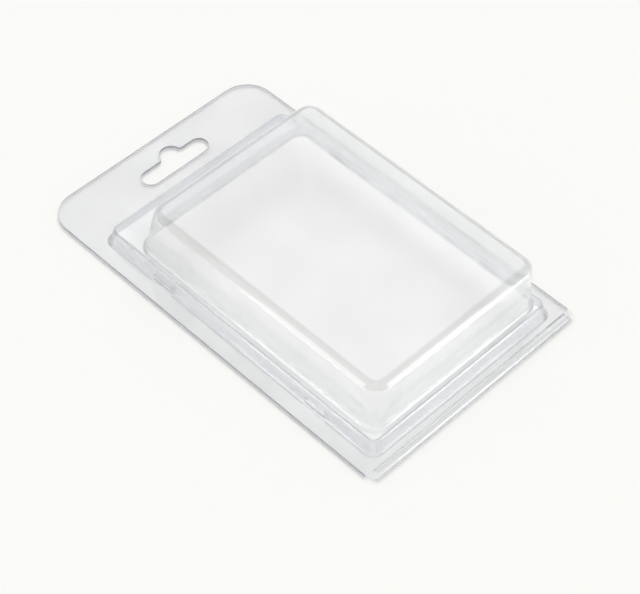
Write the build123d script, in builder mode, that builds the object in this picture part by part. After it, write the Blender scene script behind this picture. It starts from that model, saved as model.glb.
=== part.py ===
from build123d import *

import os
from typing import NamedTuple

# Closed pack: hinge edge at -Y, hanging tab at +Y, back lying on the ground plane
pack_width = 102.0
pack_length = 167.2
sheet = 0.5
flange_gap = 0.1
hinge_corner = 3.2
tab_corner = 11.5

# Hang slot: a round-ended bar with a hook seat on its tab side
slot_width = 31.4
slot_height = 7.6
slot_edge_gap = 10.3
seat_radius = 4.4
seat_offset = 1.2
seat_blend = 1.2

# Plinth: the low step round the plug, its insets measured at its foot
plinth_top = 6.9
plinth_side_inset = 6.3
plinth_hinge_inset = 6.5
plinth_tab_inset = 25.7
plinth_corner = 4.0
plinth_lean = 1.3
plinth_edge_round = 1.0
plinth_foot_round = 0.8

# Blister: the deep compartment on the plinth, its insets measured at its foot
blister_top = 28.8
blister_side_inset = 10.2
blister_hinge_inset = 10.2
blister_tab_inset = 40.2
blister_corner = 5.8
blister_lean = 0.9
blister_tab_lean = 5.1
blister_edge_round = 3.2
blister_foot_round = 1.2

# Plug: the pan of the back half that presses up inside the plinth
plug_gap = 0.3
plug_edge_round = 1.2

# Snap beads, two on each long side, placed from the hinge edge
snap_length = 9.5
snap_radius = 1.9
snap_reach = 0.6
snap_level = 2.6
snap_near = 34.4
snap_far = 110.5

# Raised bead along the hinge, hollow and open at both ends
bead_width = 3.9
bead_rise = 1.4
bead_end_gap = 3.0

# Overrun of the slot's cut past both faces
cut_over = 1.0

hinge_y = -pack_length / 2
tab_y = pack_length / 2
front_face = 2 * sheet + flange_gap


class Walls(NamedTuple):
    """Four leaning walls: insets from the pack's edges at the foot, and how far they lean in."""

    side: float
    hinge: float
    tab: float
    lean: float
    tab_lean: float
    foot: float
    top: float
    corner: float

    def lean_share(self, level):
        return (level - self.foot) / (self.top - self.foot)

    def side_inset(self, level):
        return self.side + self.lean * self.lean_share(level)

    def hinge_inset(self, level):
        return self.hinge + self.lean * self.lean_share(level)

    def tab_inset(self, level):
        return self.tab + self.tab_lean * self.lean_share(level)


plinth_walls = Walls(
    side=plinth_side_inset,
    hinge=plinth_hinge_inset,
    tab=plinth_tab_inset,
    lean=plinth_lean,
    tab_lean=plinth_lean,
    foot=front_face,
    top=plinth_top,
    corner=plinth_corner,
)
blister_walls = Walls(
    side=blister_side_inset,
    hinge=blister_hinge_inset,
    tab=blister_tab_inset,
    lean=blister_lean,
    tab_lean=blister_tab_lean,
    foot=plinth_top,
    top=blister_top,
    corner=blister_corner,
)


def raised_block(walls, low, high, skin):
    """Solid block between two levels, its walls drawn in by skin from the pack's outer face."""
    half_low, half_high = (pack_width / 2 - walls.side_inset(level) - skin for level in (low, high))
    near_low, near_high = (hinge_y + walls.hinge_inset(level) + skin for level in (low, high))
    far_low, far_high = (tab_y - walls.tab_inset(level) - skin for level in (low, high))
    with BuildPart() as block:
        with BuildSketch(Plane.YZ):
            Polygon((near_low, low), (far_low, low), (far_high, high), (near_high, high), align=None)
        extrude(amount=half_low, both=True)
        with BuildSketch(Plane.XZ):
            Polygon((-half_low, low), (half_low, low), (half_high, high), (-half_high, high), align=None)
        extrude(amount=pack_length, both=True, mode=Mode.INTERSECT)
        level_edges = edges().filter_by(Plane.XY)
        fillet(edges() - level_edges, radius=walls.corner - skin)
    return block.part


def flange_plate(top):
    """Flange of one half, without its slot."""
    with BuildPart() as plate:
        with BuildSketch(Plane.XY.offset(top)):
            Rectangle(pack_width, pack_length)
            fillet(vertices().group_by(Axis.Y)[0], radius=hinge_corner)
            fillet(vertices().group_by(Axis.Y)[-1], radius=tab_corner)
        extrude(amount=-sheet)
    return plate.part


def snap_beads(skin):
    """Four beads along the foot of the plinth's long walls."""
    inset = plinth_walls.side_inset(snap_level) + snap_radius - snap_reach
    rows = (hinge_y + snap_near, hinge_y + snap_far)
    columns = (inset - pack_width / 2, pack_width / 2 - inset)
    with BuildPart() as beads:
        with Locations([(x, y, snap_level) for x in columns for y in rows]):
            Cylinder(snap_radius - skin, snap_length - 2 * skin, rotation=(90, 0, 0))
    return beads.part


def plinth_form(plate_top, skin, edge_round):
    """Flange and plinth with rounded edges, lying skin inside the outer face of the front."""
    with BuildPart() as form:
        add(flange_plate(plate_top))
        add(raised_block(plinth_walls, plate_top, plinth_top - skin, skin))
        fillet(faces().filter_by(Axis.Z).sort_by(Axis.Z)[-1].edges(), radius=edge_round)
        foot = faces().filter_by(Axis.Z).sort_by(Axis.Z)[-2].inner_wires()[0]
        fillet(foot.edges(), radius=plinth_foot_round + skin)
        add(snap_beads(skin))
    return form.part


def front_form(skin):
    """One face of the front half's sheet, skin inside its outer face, filled down to the flange."""
    with BuildPart() as form:
        add(plinth_form(front_face - skin, skin, plinth_edge_round - skin))
        add(raised_block(blister_walls, plinth_top - skin, blister_top - skin, skin))
        foot = faces().filter_by(Axis.Z).sort_by(Axis.Z)[-2].inner_wires()[0]
        fillet(foot.edges(), radius=blister_foot_round + skin)
        fillet(faces().filter_by(Axis.Z).sort_by(Axis.Z)[-1].edges(), radius=blister_edge_round - skin)
        bead_length = pack_width - 2 * bead_end_gap
        with BuildSketch(Plane.YZ.offset(-bead_length / 2)):
            with Locations((hinge_y + bead_width / 2, front_face)):
                Ellipse(bead_width / 2 - skin, bead_rise - skin)
                Rectangle(bead_width, bead_rise, align=(Align.CENTER, Align.MIN), mode=Mode.INTERSECT)
                Rectangle(bead_width - 2 * skin, sheet + skin, align=(Align.CENTER, Align.MAX))
        extrude(amount=bead_length)
    return form.part


def slot_cutter():
    """Hang slot through both flanges."""
    slot_y = tab_y - slot_edge_gap - slot_height / 2
    seat_span = seat_radius + seat_blend
    with BuildPart() as cutter:
        with BuildSketch(Plane.XY.offset(-cut_over)):
            with Locations((0, slot_y)):
                SlotOverall(slot_width, slot_height)
            with Locations((seat_offset, slot_y + slot_height / 2)):
                Circle(seat_radius)
            seat_ends = vertices().filter_by_position(Axis.X, seat_offset - seat_span, seat_offset + seat_span)
            fillet(seat_ends, radius=seat_blend)
        extrude(amount=front_face + 2 * cut_over)
    return cutter.part


with BuildPart() as front_half:
    add(front_form(0))
    add(front_form(sheet), mode=Mode.SUBTRACT)
    add(slot_cutter(), mode=Mode.SUBTRACT)

plug_skin = sheet + plug_gap
with BuildPart() as back_half:
    add(plinth_form(sheet, plug_skin, plug_edge_round))
    add(plinth_form(0, plug_skin + sheet, plug_edge_round - sheet), mode=Mode.SUBTRACT)
    add(slot_cutter(), mode=Mode.SUBTRACT)

front_half.part.label = "front_half"
back_half.part.label = "back_half"

os.makedirs("parts", exist_ok=True)
export_step(front_half.part, "parts/front_half.step")
export_step(back_half.part, "parts/back_half.step")
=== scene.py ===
import math

import bpy
from mathutils import Matrix, Vector

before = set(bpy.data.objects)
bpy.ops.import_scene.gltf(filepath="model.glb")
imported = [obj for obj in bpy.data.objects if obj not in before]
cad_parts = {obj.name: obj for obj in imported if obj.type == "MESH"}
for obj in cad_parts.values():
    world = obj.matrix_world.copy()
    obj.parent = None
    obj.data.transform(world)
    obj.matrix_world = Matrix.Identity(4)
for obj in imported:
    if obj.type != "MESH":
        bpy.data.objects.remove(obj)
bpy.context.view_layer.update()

# Camera: the photograph's viewing angle
IMAGE_WIDTH_PX = 640
FOCAL_PX = 2038.4
SENSOR_MM = 36.0
CAMERA_PLACE = Vector((-0.33884, -0.33616, 0.55255))
CAMERA_AZIMUTH = -45.863
CAMERA_ELEVATION = 50.092
CAMERA_ROLL = -1.327

# Zones of the sheet by height and place, in metres in the part's frame
EDGE_HEIGHT = 0.00105
FLANGE_TOP = 0.00115
LEDGE_LOW = 0.0063
LEDGE_TOP = 0.0075
TOP_ROUND_FOOT = 0.0245
FAR_WALL_X = 0.0365
FAR_WALL_Y = 0.0348
TAB_LEDGE_OUTER_X = -0.043
TAB_LEDGE_INNER_X = -0.035
BEAD_Y = -0.0795
SNAP_X = 0.043
SNAP_NEAR_Y = -0.0492
SNAP_FAR_Y = 0.0269
SNAP_HALF_LENGTH = 0.0052

# Zones by how level a face is: 0 on an upright face, 1 on a level one
EDGE_TILT = 0.02
WALL_TILT = 0.25
ROUND_START = 0.30
ROUND_END = 0.998
FLAT_START = 0.9995

# The folded face at the hinge turns at least this far toward -Y
FOLD_TURN = -0.8

# Tints of the clear sheet; the ones for the top, the tab-side ledge and the rounded top edge also hold
# painted shade
FLAT_TINT = (0.990, 0.994, 1.0, 1.0)
# Faint blue tint of the top, made darker as painted shade for the shadow it casts on the floor inside the
# blister
TOP_TINT_WITH_PAINTED_SHADE = (0.958, 0.962, 0.969, 1.0)
FLANGE_TINT = (0.975, 0.979, 0.987, 1.0)
LEDGE_TINT = (0.98, 0.985, 0.997, 1.0)
# Painted shade: the tab-side ledge is darker than the rest of the ledge
TAB_LEDGE_PAINTED_SHADE = (0.91, 0.915, 0.935, 1.0)
WALL_TINT = (0.988, 0.994, 1.0, 1.0)
PLINTH_TINT = (0.94, 0.945, 0.962, 1.0)
# Painted shade: grey darkening along the blister's rounded top edge
ROUND_PAINTED_SHADE = (0.895, 0.90, 0.90, 1.0)
MOTTLE_TINT = (0.8, 0.82, 0.86, 1.0)
MOTTLE_SCALE = 35.0
MOTTLE_SHARE = 0.01

# Glass, and the gentle waves in its faces
SHEET_IOR = 1.57
ROUGHNESS_LOW = 0.06
ROUGHNESS_HIGH = 0.10
WAVE_SCALE = 60.0
WAVE_DETAIL = 1.0
WAVE_STRENGTH = 0.01
WAVE_DISTANCE = 0.0001
WAVE_LOW = 0.3
WAVE_HIGH = 0.7

# Thin sheet: a tint at each face and a reflection that grows toward grazing
FACE_GAMMA = 0.5
FACE_TINT = (0.994, 0.996, 1.0, 1.0)
REFLECTANCE = 0.05
REFLECTANCE_LOW = 0.12
GRAZING_POWER = 5.0

# Share of thin sheet in the mix with glass
CALM_LOW = 0.75
CALM_SNAP = 0.1
CALM_FAR = 0.85
CALM_WALL = 0.6
CALM_BEAD = 0.95

# Light that each face lets through on its way to the floor
SHADE_FLAT = 0.955
SHADE_TOP = 0.99
SHADE_WALL = 1.0
SHADE_FAR_WALL = 0.915

# Cut edge of the sheet painted dull dark as painted shade, and how much of that painted shade the fold at
# the hinge shows
EDGE_PAINTED_SHADE_COLOUR = (0.40, 0.41, 0.49, 1.0)
EDGE_ROUGHNESS = 0.35
FOLD_PAINTED_SHADE = 0.45

# Floor: white, but dark to reflections on the camera's side of the pack
FLOOR_SIZE = 12.0
FLOOR_Z = -0.0002
FLOOR_COLOUR = (0.975, 0.975, 0.95, 1.0)
FLOOR_DARK_COLOUR = (0.1, 0.1, 0.1, 1.0)
CAMERA_SIDE_START = -0.17
CAMERA_SIDE_FULL = -0.20

# Light of the room: an even sky and a soft lobe from behind the pack
WHITE = (1.0, 1.0, 1.0, 1.0)
CAMERA_WHITE = 1.0
SKY_PLAIN = 0.5
SKY_LOBE = 3.5
LOBE_DIRECTION = (0.49, 0.41, 0.77)
LOBE_EDGE = 0.88
LOBE_CORE = 0.93

# What reflections see of the room
GLOSS_DARK = 0.13
GLOSS_LOBE = 0.9
GLOSS_EDGE = 0.90
GLOSS_CORE = 0.97
GLOSS_SIDE = 0.65
SIDE_START = 0.45
SIDE_FULL = -0.25
GLOSS_HORIZON = 0.8
HORIZON_TOP = 0.05
HORIZON_FADE = 0.11

# Reflectors: corners on the floor, the last two of which turn up
LEFT_CARD = ((-0.060, -0.061), (-0.060, 0.008), (-0.40, 0.085), (-0.40, 0.176))
LEFT_CARD_STRENGTH = 2.25
FRONT_CARD = ((-0.022, -0.092), (0.065, -0.092), (0.135, -0.43), (0.245, -0.43))
FRONT_CARD_STRENGTH = 2.9
CARD_Z = 0.0005
CARD_TOP = 0.20
CARD_CLEARANCE = 0.006
CARD_FACES = ((0, 1, 3, 2), (2, 3, 5, 4))

# Glossy Depth counts reflections, so above this there was at least one
REFLECTED = 0.5

# The closed pack has more faces in a row than the usual bounces let light through
BOUNCES = 32
GLOSSY_BOUNCES = 16


def make_camera():
    """Camera at the photograph's place and angle."""
    azimuth = math.radians(CAMERA_AZIMUTH)
    elevation = math.radians(CAMERA_ELEVATION)
    forward = Vector((
        -math.cos(elevation) * math.sin(azimuth),
        math.cos(elevation) * math.cos(azimuth),
        -math.sin(elevation),
    ))
    right = Vector((math.cos(azimuth), math.sin(azimuth), 0.0))
    right = Matrix.Rotation(math.radians(CAMERA_ROLL), 3, forward) @ right
    up = right.cross(forward)
    data = bpy.data.cameras.new("photo_camera")
    data.sensor_width = SENSOR_MM
    data.lens = FOCAL_PX / IMAGE_WIDTH_PX * SENSOR_MM
    camera = bpy.data.objects.new("photo_camera", data)
    rotation = Matrix((right, up, -forward)).transposed()
    camera.matrix_world = Matrix.Translation(CAMERA_PLACE) @ rotation.to_4x4()
    bpy.context.collection.objects.link(camera)
    bpy.context.scene.camera = camera


class Tree:
    """Node tree being built, with one call for a node, a sum or a mix."""

    def __init__(self, tree):
        self.nodes = tree.nodes
        self.links = tree.links

    def add(self, kind, **settings):
        node = self.nodes.new(kind)
        for name, value in settings.items():
            setattr(node, name, value)
        return node

    def feed(self, node, **inputs):
        """Fill inputs with values or links, named with _ for a space, or numbered as in i0 and i1."""
        for name, value in inputs.items():
            socket = node.inputs[int(name[1:]) if name[1:].isdigit() else name.replace("_", " ")]
            if isinstance(value, bpy.types.NodeSocket):
                self.links.new(value, socket)
            else:
                socket.default_value = value
        return node

    def axes(self, vector):
        return self.feed(self.add("ShaderNodeSeparateXYZ"), Vector=vector).outputs

    def math(self, operation, a, b=0.0, clamp=False):
        node = self.add("ShaderNodeMath", operation=operation, use_clamp=clamp)
        return self.feed(node, i0=a, i1=b).outputs[0]

    def product(self, a, b):
        return self.math("MULTIPLY", a, b)

    def largest(self, most, *others):
        for other in others:
            most = self.math("MAXIMUM", most, other)
        return most

    def above(self, value, limit):
        return self.math("GREATER_THAN", value, limit)

    def below(self, value, limit):
        return self.math("LESS_THAN", value, limit)

    def outside(self, share):
        return self.math("SUBTRACT", 1.0, share)

    def span(self, value, low, high, start=0.0, end=1.0):
        """Value mapped from low..high to start..end, smoothly and clamped."""
        node = self.add("ShaderNodeMapRange", interpolation_type="SMOOTHSTEP")
        self.feed(node, Value=value, From_Min=low, From_Max=high, To_Min=start, To_Max=end)
        return node.outputs[0]

    def between(self, share, a, b):
        """Number that goes from a to b with share."""
        return self.feed(self.add("ShaderNodeMix", data_type="FLOAT"), i0=share, i2=a, i3=b).outputs[0]

    def blend(self, share, a, b, kind="MIX"):
        """Colour that goes from a to b with share."""
        node = self.add("ShaderNodeMix", data_type="RGBA", blend_type=kind)
        return self.feed(node, i0=share, i6=a, i7=b).outputs[2]

    def mix(self, share, a, b):
        """Shader that goes from a to b with share."""
        return self.feed(self.add("ShaderNodeMixShader"), i0=share, i1=a, i2=b).outputs[0]

    def noise(self, place, **inputs):
        return self.feed(self.add("ShaderNodeTexNoise"), Vector=place, **inputs).outputs["Fac"]

    def transparent(self, colour):
        return self.feed(self.add("ShaderNodeBsdfTransparent"), Color=colour).outputs[0]

    def principled(self, **inputs):
        return self.feed(self.add("ShaderNodeBsdfPrincipled"), **inputs).outputs[0]


def new_material(name):
    """Material with an empty node tree."""
    material = bpy.data.materials.new(name)
    material.use_nodes = True
    tree = Tree(material.node_tree)
    tree.nodes.clear()
    return material, tree


def snap_zone(tree, spot):
    """One on the four snap beads, zero elsewhere."""
    middle = (SNAP_NEAR_Y + SNAP_FAR_Y) / 2
    half_gap = (SNAP_FAR_Y - SNAP_NEAR_Y) / 2
    from_middle = tree.math("ABSOLUTE", tree.math("SUBTRACT", spot["Y"], middle))
    from_bead = tree.math("ABSOLUTE", tree.math("SUBTRACT", from_middle, half_gap))
    on_row = tree.below(from_bead, SNAP_HALF_LENGTH)
    outer = tree.above(tree.math("ABSOLUTE", spot["X"]), SNAP_X)
    return tree.product(on_row, outer)


def cut_zone(tree, turn, height, bead):
    """Where the painted dark edge shade goes: one on the cut edges of the flanges and the slot, less on the
    fold, zero on the hinge bead's foot.
    """
    upright = tree.below(tree.math("ABSOLUTE", turn["Z"]), EDGE_TILT)
    edge = tree.product(upright, tree.below(height, EDGE_HEIGHT))
    folded = tree.below(turn["Y"], FOLD_TURN)
    return tree.product(edge, tree.largest(tree.outside(bead), tree.product(folded, FOLD_PAINTED_SHADE)))


def sheet_zones(tree):
    """Where on the pack a point of the sheet is, told by its place and the way its face turns."""
    place = tree.add("ShaderNodeTexCoord").outputs
    turn = tree.axes(place["Normal"])
    spot = tree.axes(place["Object"])
    height = spot["Z"]
    levelness = tree.math("ABSOLUTE", turn["Z"])
    wall = tree.outside(tree.span(levelness, WALL_TILT, ROUND_START))
    low = tree.below(height, LEDGE_TOP)
    bead = tree.below(spot["Y"], BEAD_Y)
    beyond = tree.above(spot["Y"], FAR_WALL_Y)
    far = tree.largest(tree.above(spot["X"], FAR_WALL_X), beyond)
    far = tree.product(far, tree.above(height, LEDGE_TOP))
    inward = tree.span(spot["X"], TAB_LEDGE_OUTER_X, TAB_LEDGE_INNER_X)
    return {
        "place": place["Object"],
        "flat": tree.span(levelness, ROUND_END, FLAT_START),
        "wall": wall,
        "low": low,
        "top": tree.above(height, TOP_ROUND_FOOT),
        "flange": tree.below(height, FLANGE_TOP),
        "ledge": tree.product(tree.above(height, LEDGE_LOW), low),
        "shaded_tab_ledge": tree.product(beyond, inward),
        "far": far,
        "far_wall": tree.product(far, wall),
        "bead": bead,
        "snap": snap_zone(tree, spot),
        "cut": cut_zone(tree, turn, height, bead),
    }


def sheet_tint_and_painted_shade(tree, zones):
    """Faint blue tint, deeper on the plinth's walls, with painted shade along the blister's rounded top
    edge and on the tab-side ledge, and a darker top that partly stands in for the shadow on the floor
    inside.
    """
    plinth = tree.math("SUBTRACT", zones["low"], zones["bead"], clamp=True)
    sloped = tree.blend(plinth, WALL_TINT, PLINTH_TINT)
    rounded = tree.product(zones["top"], tree.outside(zones["wall"]))
    # Painted shade along the blister's rounded top edge
    sloped = tree.blend(rounded, sloped, ROUND_PAINTED_SHADE)
    # The top is darker than the other flats, partly as painted shade for the shadow it casts on the floor
    # inside
    flat = tree.blend(zones["top"], FLAT_TINT, TOP_TINT_WITH_PAINTED_SHADE)
    # Painted shade on the tab-side ledge, darker than the rest of the ledge
    ledge = tree.blend(zones["shaded_tab_ledge"], LEDGE_TINT, TAB_LEDGE_PAINTED_SHADE)
    flat = tree.blend(zones["ledge"], flat, ledge)
    flat = tree.blend(zones["flange"], flat, FLANGE_TINT)
    tint = tree.blend(zones["flat"], sloped, flat)
    mottle = tree.noise(zones["place"], Scale=MOTTLE_SCALE)
    return tree.blend(tree.product(mottle, MOTTLE_SHARE), tint, MOTTLE_TINT)


def glass(tree, zones, tint):
    """Clear glass with gentle waves in its faces and slightly uneven gloss."""
    waves = tree.noise(zones["place"], Scale=WAVE_SCALE, Detail=WAVE_DETAIL)
    bump = tree.add("ShaderNodeBump")
    tree.feed(bump, Strength=WAVE_STRENGTH, Distance=WAVE_DISTANCE, Height=waves)
    return tree.principled(
        Base_Color=tint,
        Transmission_Weight=1.0,
        IOR=SHEET_IOR,
        Roughness=tree.span(waves, WAVE_LOW, WAVE_HIGH, ROUGHNESS_LOW, ROUGHNESS_HIGH),
        Normal=bump.outputs["Normal"],
    )


def thin_sheet(tree, zones, tint):
    """Sheet too thin to bend light: a tint seen straight through, and a reflection on it."""
    gamma = tree.feed(tree.add("ShaderNodeGamma"), Color=tint, Gamma=FACE_GAMMA)
    face_tint = tree.blend(1.0, gamma.outputs["Color"], FACE_TINT, kind="MULTIPLY")
    shine = tree.principled(Base_Color=WHITE, Metallic=1.0, Roughness=ROUGHNESS_LOW)
    facing = tree.add("ShaderNodeLayerWeight").outputs["Facing"]
    grazing = tree.product(tree.math("POWER", facing, GRAZING_POWER), 1.0 - REFLECTANCE)
    head_on = tree.between(zones["low"], REFLECTANCE, REFLECTANCE_LOW)
    reflectance = tree.math("ADD", grazing, head_on, clamp=True)
    return tree.mix(reflectance, tree.transparent(face_tint), shine)


def thin_share(tree, zones):
    """How much of the thin sheet the mix takes: none on the flats, and most where glass would streak."""
    sloped = tree.outside(zones["flat"])
    rounded = tree.product(zones["top"], tree.math("SUBTRACT", sloped, zones["wall"]))
    calm = tree.largest(
        tree.product(zones["low"], tree.between(zones["snap"], CALM_LOW, CALM_SNAP)),
        tree.product(tree.product(rounded, zones["far"]), CALM_FAR),
        tree.product(zones["wall"], CALM_WALL),
        tree.product(zones["bead"], CALM_BEAD),
    )
    return tree.product(calm, sloped)


def shade(tree, zones):
    """Share of light that a face lets through to the floor."""
    level = tree.between(zones["top"], SHADE_FLAT, SHADE_TOP)
    share = tree.between(zones["flat"], SHADE_WALL, level)
    return tree.between(zones["far_wall"], share, SHADE_FAR_WALL)


def clear_sheet_material():
    """Clear glossy sheet that lights the floor through a faint shade, with a dull dark cut edge that is
    painted shade for the dark look of light bent at a clear cut edge.
    """
    material, tree = new_material("clear_sheet")
    zones = sheet_zones(tree)
    tint = sheet_tint_and_painted_shade(tree, zones)
    seen = tree.mix(thin_share(tree, zones), glass(tree, zones, tint), thin_sheet(tree, zones, tint))
    path = tree.add("ShaderNodeLightPath").outputs
    is_lighting = tree.largest(path["Is Shadow Ray"], path["Is Diffuse Ray"])
    clear = tree.mix(is_lighting, seen, tree.transparent(shade(tree, zones)))
    # Painted shade: the cut edge is an opaque dull dark colour instead of clear sheet
    edge = tree.principled(Base_Color=EDGE_PAINTED_SHADE_COLOUR, Roughness=EDGE_ROUGHNESS)
    whole = tree.mix(zones["cut"], clear, edge)
    tree.feed(tree.add("ShaderNodeOutputMaterial"), Surface=whole)
    return material


def floor_material():
    """Matt white paper that reflections see as dark on the camera's side of the pack."""
    material, tree = new_material("floor")
    spot = tree.axes(tree.add("ShaderNodeTexCoord").outputs["Object"])
    camera_side = tree.span(tree.math("ADD", spot["X"], spot["Y"]), CAMERA_SIDE_START, CAMERA_SIDE_FULL)
    path = tree.add("ShaderNodeLightPath").outputs
    is_reflected = tree.product(tree.above(path["Glossy Depth"], REFLECTED), path["Is Glossy Ray"])
    paper = tree.principled(
        Base_Color=tree.blend(tree.product(camera_side, is_reflected), FLOOR_COLOUR, FLOOR_DARK_COLOUR),
        Roughness=1.0,
        Specular_IOR_Level=0.0,
    )
    tree.feed(tree.add("ShaderNodeOutputMaterial"), Surface=paper)
    return material


def make_floor():
    bpy.ops.mesh.primitive_plane_add(size=FLOOR_SIZE, location=(0, 0, FLOOR_Z))
    floor = bpy.context.object
    floor.name = "floor"
    floor.data.materials.append(floor_material())


def card_material(name, strength):
    """White glow that shows only after a reflection, and not to a face that lies on the card."""
    material, tree = new_material(name)
    path = tree.add("ShaderNodeLightPath").outputs
    is_reflected = tree.above(path["Glossy Depth"], REFLECTED)
    is_away = tree.above(path["Ray Length"], CARD_CLEARANCE)
    glow = tree.feed(tree.add("ShaderNodeEmission"), Strength=strength).outputs[0]
    seen = tree.mix(tree.product(is_reflected, is_away), tree.transparent(WHITE), glow)
    tree.feed(tree.add("ShaderNodeOutputMaterial"), Surface=seen)
    material.cycles.emission_sampling = "NONE"
    return material


def make_card(name, corners, strength):
    """White reflector that only reflections see: a strip on the floor that turns up at its far end."""
    rise = [(x, y, CARD_TOP) for x, y in corners[2:]]
    mesh = bpy.data.meshes.new(name)
    mesh.from_pydata([(x, y, CARD_Z) for x, y in corners] + rise, [], CARD_FACES)
    mesh.materials.append(card_material(name, strength))
    card = bpy.data.objects.new(name, mesh)
    bpy.context.collection.objects.link(card)
    card.visible_camera = False
    card.visible_diffuse = False
    card.visible_shadow = False


def make_world():
    """White to the camera, lit softly from behind the pack, with its own pattern for reflections."""
    world = bpy.data.worlds.new("studio")
    world.use_nodes = True
    bpy.context.scene.world = world
    tree = Tree(world.node_tree)
    direction = tree.add("ShaderNodeTexCoord").outputs["Generated"]
    along = tree.add("ShaderNodeVectorMath", operation="DOT_PRODUCT")
    tree.feed(along, i0=direction, i1=Vector(LOBE_DIRECTION).normalized())
    to_lobe = along.outputs["Value"]
    axes = tree.axes(direction)
    camera_side = tree.math("ADD", axes["X"], axes["Y"])
    gloss = tree.largest(
        tree.span(to_lobe, GLOSS_EDGE, GLOSS_CORE, GLOSS_DARK, GLOSS_LOBE),
        tree.span(axes["Z"], HORIZON_TOP, HORIZON_FADE, GLOSS_HORIZON, 0.0),
        tree.span(camera_side, SIDE_FULL, SIDE_START, GLOSS_SIDE, 0.0),
    )
    light = tree.span(to_lobe, LOBE_EDGE, LOBE_CORE, SKY_PLAIN, SKY_PLAIN + SKY_LOBE)
    path = tree.add("ShaderNodeLightPath").outputs
    is_gloss = tree.largest(path["Is Glossy Ray"], path["Is Transmission Ray"])
    strength = tree.between(is_gloss, light, gloss)
    strength = tree.between(path["Is Camera Ray"], strength, CAMERA_WHITE)
    tree.feed(world.node_tree.nodes["Background"], Color=WHITE, Strength=strength)


def dress_nodes():
    """The same clear sheet on both halves."""
    material = clear_sheet_material()
    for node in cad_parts.values():
        for slot in node.material_slots:
            slot.material = material


def set_bounces():
    """Enough bounces for light to cross every face of the closed pack."""
    cycles = bpy.context.scene.cycles
    cycles.max_bounces = BOUNCES
    cycles.glossy_bounces = GLOSSY_BOUNCES
    cycles.transmission_bounces = BOUNCES
    cycles.transparent_max_bounces = BOUNCES


make_camera()
dress_nodes()
make_floor()
make_card("left_card", LEFT_CARD, LEFT_CARD_STRENGTH)
make_card("front_card", FRONT_CARD, FRONT_CARD_STRENGTH)
make_world()
set_bounces()
bpy.context.scene.view_settings.view_transform = "Standard"
